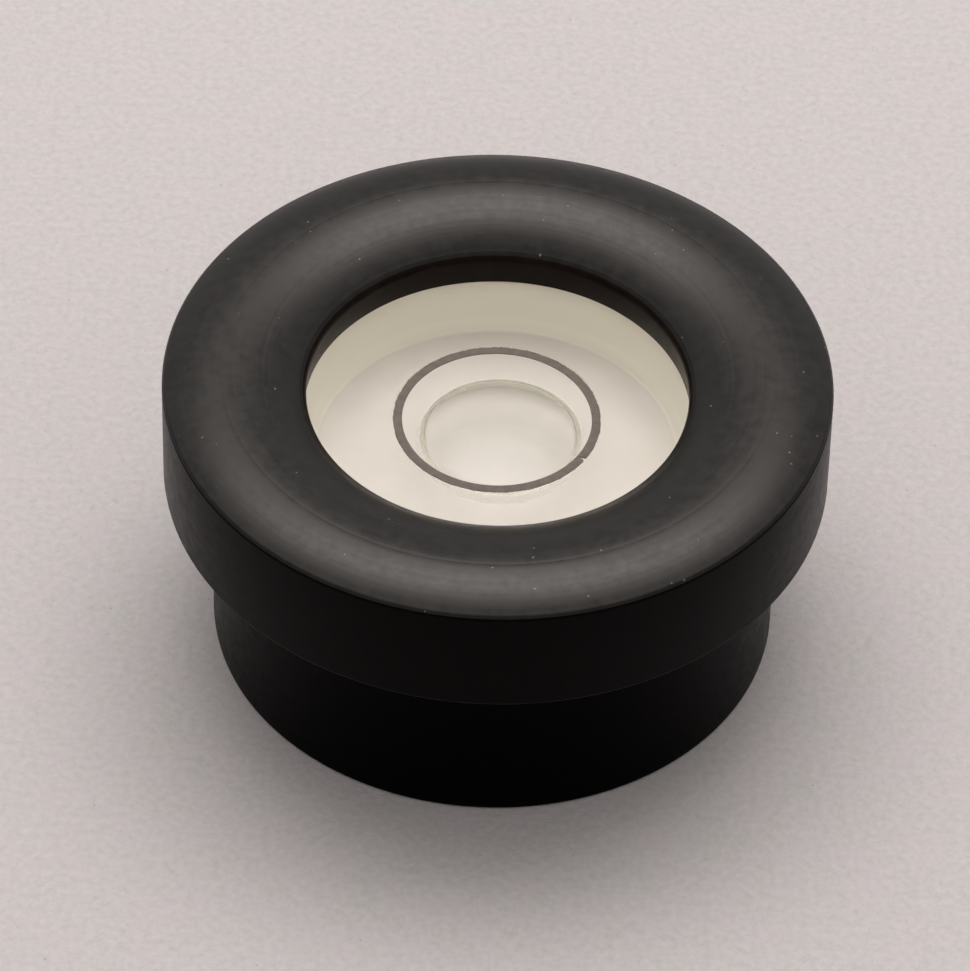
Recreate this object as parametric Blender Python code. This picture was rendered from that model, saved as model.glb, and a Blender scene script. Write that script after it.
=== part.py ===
"""Bullseye level: a round spirit vial held in a turned, flanged housing.

Everything is turned about the Z axis. The origin is the middle of the base,
+Z is up, and all sizes are in metres. The sizes run outwards from the vial
and upwards from the base, so each piece seats on the one before it.
"""

import math

import bmesh
import bpy

# Gaps between pieces that touch
CLEARANCE = 0.0003
SPIRIT_CLEARANCE = 0.0001
BOND_CLEARANCE = 0.0001
PAINT_CLEARANCE = 0.00004

# Vial, seen from above
VIAL_DIAMETER = 0.0198
CUP_WALL = 0.0012
WINDOW_EDGE_THICKNESS = 0.00178
WINDOW_DOME_RADIUS = 0.120
WINDOW_CHAMFER = 0.0002
RING_INNER_DIAMETER = 0.00854
RING_LINE_WIDTH = 0.00043
RING_DEPTH = 0.00022

# Well of the vial and the bubble in it
WELL_DEPTH = 0.00245
WELL_DRAFT = math.radians(10.2)
WELL_CORNER_RADIUS = 0.0004
CUP_FLOOR_THICKNESS = 0.0012
CUP_CHAMFER = 0.0003
BUBBLE_DIAMETER = 0.00754
BUBBLE_SIDE_BULGE = 0.00043
BUBBLE_SHOULDER = 0.00100
BUBBLE_MOUTH_ANGLE = 75
BUBBLE_FILM = 0.00015
BUBBLE_FULLNESS = 2.6

# Cushion and plug that hold the vial from beneath
CUSHION_THICKNESS = 0.0020
CUSHION_BORE = 0.0080
PLUG_THICKNESS = 0.0035
PLUG_RECESS = 0.00045
PLUG_CHAMFER = 0.0003
SPANNER_HOLE_DIAMETER = 0.0020
SPANNER_HOLE_DEPTH = 0.0020
SPANNER_HOLE_SPACING = 0.0150

# Housing
THREAD_STEP = 0.0008
SPIGOT_WALL = 0.00184
FLANGE_OVERHANG = 0.00218
FLANGE_WALL = 0.00535
OPENING_DIAMETER = 0.0171
OPENING_FLARE = 0.00015
LIP_THICKNESS = 0.001485
CREST_INSET = 0.00265
OUTER_ROLL_TILT = math.radians(30.6)
INNER_ROLL_TILT = math.radians(41.0)
FLANGE_EDGE_RADIUS = 0.00012
FLANGE_FOOT_RADIUS = 0.00015
NECK_FILLET = 0.0002
OPENING_EDGE_RADIUS = 0.00008
BASE_CHAMFER = 0.00025
THREAD_CHAMFER = 0.0004

# Fineness of the turned surfaces
SEGMENTS = 72
HOLE_SEGMENTS = 20
ROLL_STEPS = 9
DOME_STEPS = 5
BUBBLE_STEPS = 8
LONGEST_SETBACK = 0.45
MERGE_DISTANCE = 1e-7
SHARP_EDGE_ANGLE = math.radians(28)

# Radii that follow from the sizes above
vial_radius = VIAL_DIAMETER / 2
well_radius = vial_radius - CUP_WALL
window_radius = well_radius - BOND_CLEARANCE
bore_radius = vial_radius + CLEARANCE
thread_radius = bore_radius + THREAD_STEP
spigot_radius = thread_radius + SPIGOT_WALL
flange_radius = spigot_radius + FLANGE_OVERHANG
crest_radius = flange_radius - CREST_INSET
opening_radius = OPENING_DIAMETER / 2
lip_foot_radius = opening_radius + OPENING_FLARE
plug_radius = thread_radius - CLEARANCE
bubble_radius = BUBBLE_DIAMETER / 2
mouth_radius = bubble_radius - BUBBLE_SIDE_BULGE

# Heights that follow, from the base upwards
plug_top = PLUG_RECESS + PLUG_THICKNESS
cushion_foot = plug_top + CLEARANCE
cushion_top = cushion_foot + CUSHION_THICKNESS
cup_foot = cushion_top + CLEARANCE
well_floor = cup_foot + CUP_FLOOR_THICKNESS
window_land = well_floor + WELL_DEPTH
window_top = window_land + WINDOW_EDGE_THICKNESS
lip_foot = window_top + CLEARANCE
opening_edge = lip_foot + LIP_THICKNESS
crest_rise = (crest_radius - opening_radius) * math.tan(INNER_ROLL_TILT / 2)
crest_top = opening_edge + crest_rise
flange_top = crest_top - CREST_INSET * math.tan(OUTER_ROLL_TILT / 2)
flange_foot = flange_top - FLANGE_WALL


def well_wall(height):
    """Radius of the well at a height, where its wall leans out by the draft from the window's land."""
    return well_radius + (height - window_land) * math.tan(WELL_DRAFT)


def dome_height(radius):
    """Height of the window's hollow underside at a radius, where it is a shallow part of a sphere."""
    sphere = math.sqrt(WINDOW_DOME_RADIUS ** 2 - radius ** 2)
    sphere_at_land = math.sqrt(WINDOW_DOME_RADIUS ** 2 - window_radius ** 2)
    return window_land + sphere - sphere_at_land


def ellipse_arc(centre, half_width, half_height, start, end, steps):
    """Points of an upright ellipse from one angle to another, in degrees, as (radius, height)."""
    points = []
    for step in range(steps + 1):
        angle = math.radians(start + (end - start) * step / steps)
        points.append((centre[0] + half_width * math.cos(angle), centre[1] + half_height * math.sin(angle)))
    return points


def rounded_corner(before, corner, after, radius):
    """Replaces a corner by an arc that both its sides run into, no longer than the sides allow."""
    to_before = (before[0] - corner[0], before[1] - corner[1])
    to_after = (after[0] - corner[0], after[1] - corner[1])
    length_before = math.hypot(*to_before)
    length_after = math.hypot(*to_after)
    unit_before = (to_before[0] / length_before, to_before[1] / length_before)
    unit_after = (to_after[0] / length_after, to_after[1] / length_after)
    opening = math.acos(unit_before[0] * unit_after[0] + unit_before[1] * unit_after[1])
    setback = min(radius / math.tan(opening / 2), LONGEST_SETBACK * min(length_before, length_after))
    start = (corner[0] + unit_before[0] * setback, corner[1] + unit_before[1] * setback)
    end = (corner[0] + unit_after[0] * setback, corner[1] + unit_after[1] * setback)
    middle = ((start[0] + end[0]) / 2, (start[1] + end[1]) / 2)
    half_chord = math.hypot(end[0] - start[0], end[1] - start[1]) / 2
    bulge = half_chord * math.tan((math.pi - opening) / 4)
    towards_corner = math.hypot(corner[0] - middle[0], corner[1] - middle[1])
    top = (
        middle[0] + (corner[0] - middle[0]) / towards_corner * bulge,
        middle[1] + (corner[1] - middle[1]) / towards_corner * bulge,
    )
    return [start, top, end]


def roll_arc(crest, foot_radius, tilt, steps):
    """Arc of the rolled rim, level at the crest and sloping by the tilt where it ends."""
    run = foot_radius - crest[0]
    roll_radius = abs(run) / math.sin(tilt)
    side = math.copysign(1, run)
    points = []
    for step in range(steps + 1):
        angle = tilt * step / steps
        drop = roll_radius * (1 - math.cos(angle))
        points.append((crest[0] + side * roll_radius * math.sin(angle), crest[1] - drop))
    return points


def principled(name, colour, roughness, metallic=0.0, transmission=0.0, refraction=1.45):
    """Makes a material from a colour, a roughness and a metallic value."""
    material = bpy.data.materials.new(name)
    material.use_nodes = True
    shader = material.node_tree.nodes["Principled BSDF"]
    shader.inputs["Base Color"].default_value = (*colour, 1.0)
    shader.inputs["Roughness"].default_value = roughness
    shader.inputs["Metallic"].default_value = metallic
    shader.inputs["Transmission Weight"].default_value = transmission
    shader.inputs["IOR"].default_value = refraction
    material.diffuse_color = (*colour, 1.0)
    return material


def turned(name, outline, material, closed):
    """Turns an outline of (radius, height) points about the Z axis into one solid object.

    A closed outline makes a ring. An open one starts and ends on the axis.
    """
    shape = bmesh.new()
    corners = [shape.verts.new((radius, 0.0, height)) for radius, height in outline]
    edges = [shape.edges.new(pair) for pair in zip(corners, corners[1:])]
    if closed:
        edges.append(shape.edges.new((corners[-1], corners[0])))
    bmesh.ops.spin(
        shape,
        geom=corners + edges,
        cent=(0.0, 0.0, 0.0),
        axis=(0.0, 0.0, 1.0),
        angle=math.tau,
        steps=SEGMENTS,
        use_merge=True,
    )
    bmesh.ops.remove_doubles(shape, verts=shape.verts, dist=MERGE_DISTANCE)
    bmesh.ops.recalc_face_normals(shape, faces=shape.faces)
    mesh = bpy.data.meshes.new(name)
    shape.to_mesh(mesh)
    shape.free()
    mesh.shade_smooth()
    mesh.set_sharp_from_angle(angle=SHARP_EDGE_ANGLE)
    mesh.materials.append(material)
    piece = bpy.data.objects.new(name, mesh)
    bpy.context.scene.collection.objects.link(piece)
    return piece


def housing_outline():
    """Outline of the housing, from the crest of its rim down the outside and up the bore."""
    crest = (crest_radius, crest_top)
    outer_roll = roll_arc(crest, flange_radius, OUTER_ROLL_TILT, ROLL_STEPS)
    inner_roll = roll_arc(crest, opening_radius, INNER_ROLL_TILT, ROLL_STEPS)
    shoulder = (flange_radius, flange_foot)
    neck = (spigot_radius, flange_foot)
    base_outer = (spigot_radius, BASE_CHAMFER)
    lip = (lip_foot_radius, lip_foot)

    points = outer_roll[:-1]
    points += rounded_corner(outer_roll[-2], outer_roll[-1], shoulder, FLANGE_EDGE_RADIUS)
    points += rounded_corner(outer_roll[-1], shoulder, neck, FLANGE_FOOT_RADIUS)
    points += rounded_corner(shoulder, neck, base_outer, NECK_FILLET)
    points += [base_outer, (spigot_radius - BASE_CHAMFER, 0.0)]
    points += [(thread_radius + THREAD_CHAMFER, 0.0), (thread_radius, THREAD_CHAMFER)]
    points += [(thread_radius, cushion_foot), (bore_radius, cushion_foot)]
    points += [(bore_radius, lip_foot), lip]
    points += rounded_corner(lip, inner_roll[-1], inner_roll[-2], OPENING_EDGE_RADIUS)
    points += reversed(inner_roll[1:-1])
    return points


def ring_groove(clearance):
    """Inner radius, outer radius and foot of the target ring, or of its groove with a clearance."""
    inner = RING_INNER_DIAMETER / 2 - clearance
    outer = RING_INNER_DIAMETER / 2 + RING_LINE_WIDTH + clearance
    return inner, outer, window_top - RING_DEPTH - clearance


def window_outline():
    """Outline of the clear window: flat and engraved on top, hollowed to a shallow dome below."""
    inner, outer, foot = ring_groove(PAINT_CLEARANCE)
    edge = well_wall(window_top - WINDOW_CHAMFER) - BOND_CLEARANCE
    points = [(0.0, window_top)]
    points += [(inner, window_top), (inner, foot), (outer, foot), (outer, window_top)]
    points += [(edge - WINDOW_CHAMFER, window_top), (edge, window_top - WINDOW_CHAMFER)]
    for step in range(DOME_STEPS + 1):
        radius = window_radius * (1 - step / DOME_STEPS)
        points.append((radius, dome_height(radius)))
    return points


def ring_outline():
    """Outline of the paint that fills the engraved ring level with the window's face."""
    inner, outer, foot = ring_groove(0.0)
    return [(inner, window_top), (outer, window_top), (outer, foot), (inner, foot)]


def cup_outline():
    """Outline of the vial's cup, whose wall leans out from the floor and rises round the window."""
    centre = (0.0, well_floor)
    rim = (well_wall(window_top), window_top)
    points = [centre]
    points += rounded_corner(centre, (well_wall(well_floor), well_floor), rim, WELL_CORNER_RADIUS)
    points += [rim, (vial_radius, window_top)]
    points += [(vial_radius, cup_foot + CUP_CHAMFER), (vial_radius - CUP_CHAMFER, cup_foot)]
    points += [(0.0, cup_foot)]
    return points


def spirit_surface(radius):
    """Height of the spirit's surface where it lies under the window."""
    return dome_height(radius) - SPIRIT_CLEARANCE


def bubble_outline():
    """Wall of the hollow that the bubble presses into the spirit, from its foot to its mouth.

    Below the widest place it is flattened by the spirit's weight, so it is fuller
    than an ellipse. Above, it curls in until it meets the window at a small angle.
    """
    widest = spirit_surface(mouth_radius) - BUBBLE_SHOULDER
    foot = well_floor + SPIRIT_CLEARANCE + BUBBLE_FILM
    power = 2 / BUBBLE_FULLNESS
    points = []
    for step in range(BUBBLE_STEPS):
        angle = math.pi / 2 * step / BUBBLE_STEPS
        radius = bubble_radius * math.sin(angle) ** power
        height = widest - (widest - foot) * math.cos(angle) ** power
        points.append((radius, height))
    half_width = BUBBLE_SIDE_BULGE / (1 - math.cos(math.radians(BUBBLE_MOUTH_ANGLE)))
    half_height = BUBBLE_SHOULDER / math.sin(math.radians(BUBBLE_MOUTH_ANGLE))
    centre = (bubble_radius - half_width, widest)
    points += ellipse_arc(centre, half_width, half_height, 0, BUBBLE_MOUTH_ANGLE, BUBBLE_STEPS)
    return points


def spirit_outline():
    """Outline of the spirit that fills the well round the bubble."""
    side = well_radius - SPIRIT_CLEARANCE
    centre = (0.0, well_floor + SPIRIT_CLEARANCE)
    corner = (well_wall(well_floor) - SPIRIT_CLEARANCE, well_floor + SPIRIT_CLEARANCE)
    points = bubble_outline()
    for step in range(1, DOME_STEPS + 1):
        radius = mouth_radius + (side - mouth_radius) * step / DOME_STEPS
        points.append((radius, spirit_surface(radius)))
    points += rounded_corner(points[-1], corner, centre, WELL_CORNER_RADIUS)
    points.append(centre)
    return points


def cushion_outline():
    """Outline of the flat rubber washer between the plug and the cup."""
    inner = CUSHION_BORE / 2
    top_face = [(inner, cushion_top), (vial_radius, cushion_top)]
    foot_face = [(vial_radius, cushion_foot), (inner, cushion_foot)]
    return top_face + foot_face


def plug_outline():
    """Outline of the plug that screws into the foot of the housing."""
    points = [(0.0, plug_top)]
    points += [(plug_radius - PLUG_CHAMFER, plug_top), (plug_radius, plug_top - PLUG_CHAMFER)]
    points += [(plug_radius, PLUG_RECESS + PLUG_CHAMFER), (plug_radius - PLUG_CHAMFER, PLUG_RECESS)]
    points += [(0.0, PLUG_RECESS)]
    return points


def drill_spanner_holes(plug):
    """Drills the two blind holes that a pin spanner turns the plug by."""
    overlap = SPANNER_HOLE_DEPTH / 2
    middle = PLUG_RECESS + (SPANNER_HOLE_DEPTH - overlap) / 2
    for name, side in (("spanner_hole_cutter_left", -1), ("spanner_hole_cutter_right", 1)):
        bpy.ops.mesh.primitive_cylinder_add(
            vertices=HOLE_SEGMENTS,
            radius=SPANNER_HOLE_DIAMETER / 2,
            depth=SPANNER_HOLE_DEPTH + overlap,
            location=(side * SPANNER_HOLE_SPACING / 2, 0.0, middle),
        )
        cutter = bpy.context.object
        cutter.name = name
        cutter.hide_render = True
        cutter.display_type = "WIRE"
        cut = plug.modifiers.new(name, "BOOLEAN")
        cut.operation = "DIFFERENCE"
        cut.object = cutter


def build():
    """Clears the scene and makes every piece of the level."""
    for old in list(bpy.data.objects):
        bpy.data.objects.remove(old)

    black = principled("black_anodised_aluminium", (0.012, 0.011, 0.011), 0.42, metallic=0.6)
    clear = principled("clear_acrylic", (0.98, 0.98, 0.97), 0.02, transmission=1.0, refraction=1.49)
    paint = principled("grey_brown_paint", (0.17, 0.14, 0.11), 0.6)
    ivory = principled("ivory_plastic", (0.76, 0.72, 0.62), 0.45)
    spirit = principled("clear_spirit", (0.97, 0.98, 0.94), 0.0, transmission=1.0, refraction=1.38)
    rubber = principled("black_rubber", (0.02, 0.02, 0.02), 0.85)
    plain = principled("black_anodised_plug", (0.014, 0.013, 0.013), 0.5, metallic=0.6)

    turned("housing", housing_outline(), black, closed=True)
    turned("vial_window", window_outline(), clear, closed=False)
    turned("target_ring", ring_outline(), paint, closed=True)
    turned("vial_cup", cup_outline(), ivory, closed=False)
    turned("spirit_fill", spirit_outline(), spirit, closed=False)
    turned("cushion_washer", cushion_outline(), rubber, closed=True)
    plug = turned("base_plug", plug_outline(), plain, closed=False)
    drill_spanner_holes(plug)


build()
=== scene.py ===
# %% [markdown]
# # A bullseye level
#
# This is a round spirit level, about as wide as a large coin. A turned black
# housing holds a small vial: an ivory cup, a clear window bonded into it, and
# spirit with an air bubble between the two. The bubble sits in the middle of a
# painted ring when the level stands flat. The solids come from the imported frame,
# in metres, and this file gives each piece the fine surface and the finish that
# the real one has.

import math

import bmesh
import bpy
import numpy as np
from mathutils import Matrix, Vector


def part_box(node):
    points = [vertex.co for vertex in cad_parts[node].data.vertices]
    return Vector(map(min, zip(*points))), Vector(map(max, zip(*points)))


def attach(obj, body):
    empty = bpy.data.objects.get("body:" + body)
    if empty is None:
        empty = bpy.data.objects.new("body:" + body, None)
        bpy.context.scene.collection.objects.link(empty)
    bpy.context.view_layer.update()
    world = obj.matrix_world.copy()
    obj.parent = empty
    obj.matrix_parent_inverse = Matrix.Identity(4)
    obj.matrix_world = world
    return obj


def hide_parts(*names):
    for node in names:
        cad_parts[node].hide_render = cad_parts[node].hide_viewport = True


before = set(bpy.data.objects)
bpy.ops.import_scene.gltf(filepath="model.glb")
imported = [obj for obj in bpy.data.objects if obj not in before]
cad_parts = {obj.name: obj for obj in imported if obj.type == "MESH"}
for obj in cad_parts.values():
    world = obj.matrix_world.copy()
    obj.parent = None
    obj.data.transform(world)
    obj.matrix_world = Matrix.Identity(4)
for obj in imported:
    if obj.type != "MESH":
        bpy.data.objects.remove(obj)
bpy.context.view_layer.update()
print("frame nodes:", sorted(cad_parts))

# %% [markdown]
# ## Sizes from the frame
#
# Every piece is turned about the Z axis, so a radius and two heights say where
# it is. They could be typed in again, but would then be free to differ from the
# solids. They are read from the boxes of the frame's nodes instead, and each fine
# surface lies where its solid does.

# %% Read the main sizes
MM = 0.001


def reach(node_name):
    """Outer radius, foot and top of a turned node: its box's highest X, lowest Z and highest Z."""
    low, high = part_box(node_name)
    return float(high[0]), float(low[2]), float(high[2])


flange_radius, base_height, crest_top = reach("housing")
_, window_land, window_top = reach("vial_window")
ring_outer, _, ring_top = reach("target_ring")
cup_radius, cup_foot, cup_rim = reach("vial_cup")
plug_radius = reach("base_plug")[0]
_, washer_foot, _ = reach("cushion_washer")
print("flange radius", round(flange_radius / MM, 2), "crest at", round(crest_top / MM, 2), "mm")

# %% [markdown]
# A box can't tell the curve of the rim, the width of the opening or the wall of the
# cup. These are named here once, in millimetres as a turner reads them, and the
# other radii and heights follow from them.

# %% Name the sizes that a box can't tell
CLEARANCE = 0.3 * MM
SPIGOT_INSET = 2.18 * MM
CREST_INSET = 2.65 * MM
OPENING_FLARE = 0.15 * MM
FLANGE_THICKNESS = 5.35 * MM
CUP_WALL = 1.2 * MM
CUP_FLOOR = 1.2 * MM
RING_WIDTH = 0.43 * MM
dome_radius = 120 * MM
opening_radius = 8.55 * MM
outer_tilt = math.radians(30.6)
inner_tilt = math.radians(41.0)

spigot_radius = flange_radius - SPIGOT_INSET
crest_radius = flange_radius - CREST_INSET
lip_foot_radius = opening_radius + OPENING_FLARE
bore_radius = cup_radius + CLEARANCE
thread_radius = plug_radius + CLEARANCE
well_radius = cup_radius - CUP_WALL
ring_inner = ring_outer - RING_WIDTH
lip_foot = window_top + CLEARANCE
flange_top = crest_top - (flange_radius - crest_radius) * math.tan(outer_tilt / 2)
flange_foot = flange_top - FLANGE_THICKNESS
well_floor = cup_foot + CUP_FLOOR
print("window lies", round((flange_top - window_top) / MM, 2), "mm below the flange's edge")

# %% [markdown]
# ## The camera
#
# The photograph looks down on the level from in front at about 44 degrees with
# a long lens, tipped a little to one side. A camera could be aimed by a
# constraint, but three written angles are plainer to read and to move. It is
# turned so that the level lies above the middle of the picture, and needs no shift.

# %% Set the camera
VIEW_ELEVATION = math.radians(43.787)
VIEW_DISTANCE = 302.0 * MM
VIEW_PAN = math.radians(-0.0863)
VIEW_TILT = math.radians(-0.9080)
VIEW_ROLL = math.radians(1.4265)
LENS_MM = 250.5
SENSOR_MM = 36
NEAREST_SEEN = 0.01

aim = Vector((0, 0, flange_top))
outward = Vector((0, -math.cos(VIEW_ELEVATION), math.sin(VIEW_ELEVATION)))
right = Vector((1, 0, 0))
upward = outward.cross(right)
forward = (
    -outward * math.cos(VIEW_PAN) * math.cos(VIEW_TILT)
    + right * math.sin(VIEW_PAN) * math.cos(VIEW_TILT)
    + upward * math.sin(VIEW_TILT)
).normalized()
level_side = forward.cross(Vector((0, 0, 1))).normalized()
level_up = level_side.cross(forward)
side = level_side * math.cos(VIEW_ROLL) + level_up * math.sin(VIEW_ROLL)
top = level_up * math.cos(VIEW_ROLL) - level_side * math.sin(VIEW_ROLL)

camera_data = bpy.data.cameras.new("camera")
camera_data.lens = LENS_MM
camera_data.sensor_width = SENSOR_MM
camera_data.clip_start = NEAREST_SEEN
camera = bpy.data.objects.new("camera", camera_data)
turn = Matrix((side, top, -forward)).transposed().to_4x4()
camera.matrix_world = Matrix.Translation(aim + outward * VIEW_DISTANCE) @ turn
bpy.context.scene.collection.objects.link(camera)
bpy.context.scene.camera = camera
print("camera at", [round(c, 4) for c in camera.location])

# %% [markdown]
# ## Helpers for shaders
#
# A material is a small tree of nodes. Written out in full, each node takes five
# or six lines. A few helpers keep each tree short to read: one adds a node and
# fills its sockets, one adds a sum, one stretches a range and one mixes colours.

# %% Add nodes by name
# A Mix node has a set of sockets for each kind of data. These are the numbers of its colour ones.
MIX_FACTOR, MIX_FIRST, MIX_SECOND, MIX_RESULT = 0, 6, 7, 2


def fill(tree, socket, value):
    """Links a socket to an input, or writes a plain value on it."""
    if isinstance(value, bpy.types.NodeSocket):
        tree.links.new(value, socket)
    else:
        socket.default_value = value


def node(tree, kind, links=None, **settings):
    """Adds a node, sets its properties, and fills its inputs with sockets or plain values."""
    new = tree.nodes.new(kind)
    for key, value in settings.items():
        setattr(new, key, value)
    for key, value in (links or {}).items():
        fill(tree, new.inputs[key], value)
    return new


def sums(tree, operation, a, b=0.0):
    """Adds a Math node and returns its output."""
    return node(tree, "ShaderNodeMath", {0: a, 1: b}, operation=operation).outputs[0]


def scaled(tree, vector, factor):
    """A vector times a plain number."""
    return node(tree, "ShaderNodeVectorMath", {0: vector, "Scale": factor}, operation="SCALE").outputs[0]


def ramp(tree, value, low, high, to_low=0.0, to_high=1.0, smooth=True):
    """Maps a value from one range to another, with both ends held."""
    kind = "SMOOTHSTEP" if smooth else "LINEAR"
    links = {"Value": value, "From Min": low, "From Max": high, "To Min": to_low, "To Max": to_high}
    return node(tree, "ShaderNodeMapRange", links, interpolation_type=kind, clamp=True).outputs["Result"]


def blend_colours(tree, factor, first, second):
    """Mixes two colours by a factor: first times (1 - factor), plus second times factor."""
    mix = node(tree, "ShaderNodeMix", data_type="RGBA", clamp_factor=True)
    fill(tree, mix.inputs[MIX_FACTOR], factor)
    fill(tree, mix.inputs[MIX_FIRST], first)
    fill(tree, mix.inputs[MIX_SECOND], second)
    return mix.outputs[MIX_RESULT]


print("node helpers ready")

# %% [markdown]
# An effect that several materials share, such as dust, is built once as a group
# with named inputs and outputs. Each material then places it with its own
# values. Patterns are read in millimetres on the piece, so a value such as
# "per millimetre" means the same on each of them.

# %% Start groups and materials


def start_group(name, inputs, outputs):
    """Makes a shader group with number inputs and number outputs, and returns its tree and two ends."""
    tree = bpy.data.node_groups.new(name, "ShaderNodeTree")
    for label, value in inputs.items():
        socket = tree.interface.new_socket(name=label, in_out="INPUT", socket_type="NodeSocketFloat")
        socket.default_value = value
    for label in outputs:
        tree.interface.new_socket(name=label, in_out="OUTPUT", socket_type="NodeSocketFloat")
    return tree, tree.nodes.new("NodeGroupInput"), tree.nodes.new("NodeGroupOutput")


def use_group(tree, group, **values):
    """Places a group in a material with its own values; an underscore stands for a space."""
    placed = node(tree, "ShaderNodeGroup", node_tree=group)
    for label, value in values.items():
        placed.inputs[label.replace("_", " ")].default_value = value
    return placed


def millimetres(tree):
    """The place of a point on the piece, in millimetres: Object coordinates times a thousand."""
    return scaled(tree, node(tree, "ShaderNodeTexCoord").outputs["Object"], 1 / MM)


def start_material(name):
    """Makes a material and returns it with its tree and its Principled shader."""
    material = bpy.data.materials.new(name)
    material.use_nodes = True
    tree = material.node_tree
    return material, tree, tree.nodes["Principled BSDF"]


print("group and material helpers ready")

# %% [markdown]
# ## Turning marks
#
# A lathe tool leaves fine rings that all share the part's axis. Cut into the mesh,
# they would take millions of faces, and a wave texture would make them too even.
# A noise read by radius and height alone, and not by the angle, gives just what is
# needed: rings on the flat faces and bands on the upright ones. Two sizes of ring
# are added, as a tool leaves a fine thread and slower waves.

# %% Make the turning marks group


def make_turning_marks():
    """Rings about Z: fine noise over (radius, height), plus broad noise times its share."""
    inputs = {"Fine Per Mm": 9.0, "Broad Per Mm": 1.6, "Broad Share": 0.35}
    tree, inlet, outlet = start_group("turning marks", inputs, ["Height"])
    parts = node(tree, "ShaderNodeSeparateXYZ", {0: millimetres(tree)}).outputs
    squares = [sums(tree, "POWER", parts[axis], 2.0) for axis in (0, 1)]
    across = sums(tree, "SQRT", sums(tree, "ADD", squares[0], squares[1]))
    section = node(tree, "ShaderNodeCombineXYZ", {0: across, 1: parts[2]}).outputs[0]
    heights = []
    for label, detail in (("Fine Per Mm", 2.0), ("Broad Per Mm", 3.0)):
        links = {"Vector": section, "Scale": inlet.outputs[label], "Detail": detail}
        heights.append(node(tree, "ShaderNodeTexNoise", links, noise_dimensions="2D").outputs[0])
    broad = sums(tree, "MULTIPLY", heights[1], inlet.outputs["Broad Share"])
    tree.links.new(sums(tree, "ADD", heights[0], broad), outlet.inputs["Height"])
    return tree


turning_marks = make_turning_marks()
print("group:", turning_marks.name)

# %% [markdown]
# ## Fine grain
#
# Anodised metal and moulded plastic aren't perfectly smooth close to: the
# surface has a soft grain much smaller than any edge. Sculpting it would be
# wasted work at this size. A plain noise in space does it, given as a height for
# bump and as a mottle, which is the same noise stretched, for changes of tone.
# A noise runs from 0 to 1, but few of its values lie outside 0.3 to 0.7.

# %% Make the grain group
NOISE_LOW = 0.3
NOISE_HIGH = 0.7
MOTTLE_LOW = 0.35
MOTTLE_HIGH = 0.65


def make_fine_grain():
    """A noise in space: its value is the height, and its value stretched about 0.5 is the mottle."""
    inputs = {"Per Mm": 14.0, "Detail": 4.0}
    tree, inlet, outlet = start_group("fine grain", inputs, ["Height", "Mottle"])
    per_mm, detail = inlet.outputs["Per Mm"], inlet.outputs["Detail"]
    links = {"Vector": millimetres(tree), "Scale": per_mm, "Detail": detail}
    noise = node(tree, "ShaderNodeTexNoise", links).outputs[0]
    tree.links.new(noise, outlet.inputs["Height"])
    tree.links.new(ramp(tree, noise, MOTTLE_LOW, MOTTLE_HIGH), outlet.inputs["Mottle"])
    return tree


fine_grain = make_fine_grain()
print("group:", fine_grain.name)

# %% [markdown]
# ## Settled dust
#
# A few pale specks of dust lie on the black rim. They could be small meshes laid
# on it, but then they would be pieces of the part. As a pattern they stay a
# finish. Voronoi cells give each speck a place, the cell's own random colour gives
# it a size, and most cells hold none. A noise bends the cells, so that no speck is
# a perfect dot. Dust settles, so only faces that look upwards get it.

# %% Make the dust group
SPECK_WOBBLE_PER_MM = 9.0
SPECK_WOBBLE = 0.09
SMALLEST_SPECK = 0.35
SPECK_CORE = 0.6
DUST_FACING_LOW = 0.3
DUST_FACING_HIGH = 0.6


def make_settled_dust():
    """Specks: where the distance to a cell's point is less than a random size, on faces that look up."""
    inputs = {"Cells Per Mm": 2.0, "Largest": 0.11, "Share": 0.30}
    tree, inlet, outlet = start_group("settled dust", inputs, ["Mask"])
    place = millimetres(tree)
    links = {"Vector": place, "Scale": SPECK_WOBBLE_PER_MM, "Detail": 1.0}
    wobble = scaled(tree, node(tree, "ShaderNodeTexNoise", links).outputs["Color"], SPECK_WOBBLE)
    bent = node(tree, "ShaderNodeVectorMath", {0: place, 1: wobble}, operation="ADD").outputs[0]
    cells = node(tree, "ShaderNodeTexVoronoi", {"Vector": bent, "Scale": inlet.outputs["Cells Per Mm"]})
    chance = node(tree, "ShaderNodeSeparateColor", {0: cells.outputs["Color"]}).outputs
    kept = sums(tree, "LESS_THAN", chance[0], inlet.outputs["Share"])
    part_size = ramp(tree, chance[1], 0.0, 1.0, SMALLEST_SPECK, 1.0, smooth=False)
    size = sums(tree, "MULTIPLY", part_size, inlet.outputs["Largest"])
    apart = sums(tree, "DIVIDE", cells.outputs["Distance"], size)
    speck = sums(tree, "MULTIPLY", ramp(tree, apart, 1.0, SPECK_CORE), kept)
    normal = node(tree, "ShaderNodeNewGeometry").outputs["Normal"]
    upwards = node(tree, "ShaderNodeSeparateXYZ", {0: normal}).outputs[2]
    settles = ramp(tree, upwards, DUST_FACING_LOW, DUST_FACING_HIGH)
    tree.links.new(sums(tree, "MULTIPLY", speck, settles), outlet.inputs["Mask"])
    return tree


settled_dust = make_settled_dust()
print("group:", settled_dust.name)

# %% [markdown]
# ## Turned surfaces
#
# A turned piece is an outline carried round the axis, as on a lathe. Blender's
# Screw modifier could do it, but a grid of points worked out at once can also be
# changed by the angle, as the ragged paint needs later. The outline is a list of
# radii and heights. Where it starts or ends on the axis, the ring of points there
# is merged into one, so the pole is closed.

# %% Turn an outline into a mesh
MERGE_DISTANCE = 1e-7


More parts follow.
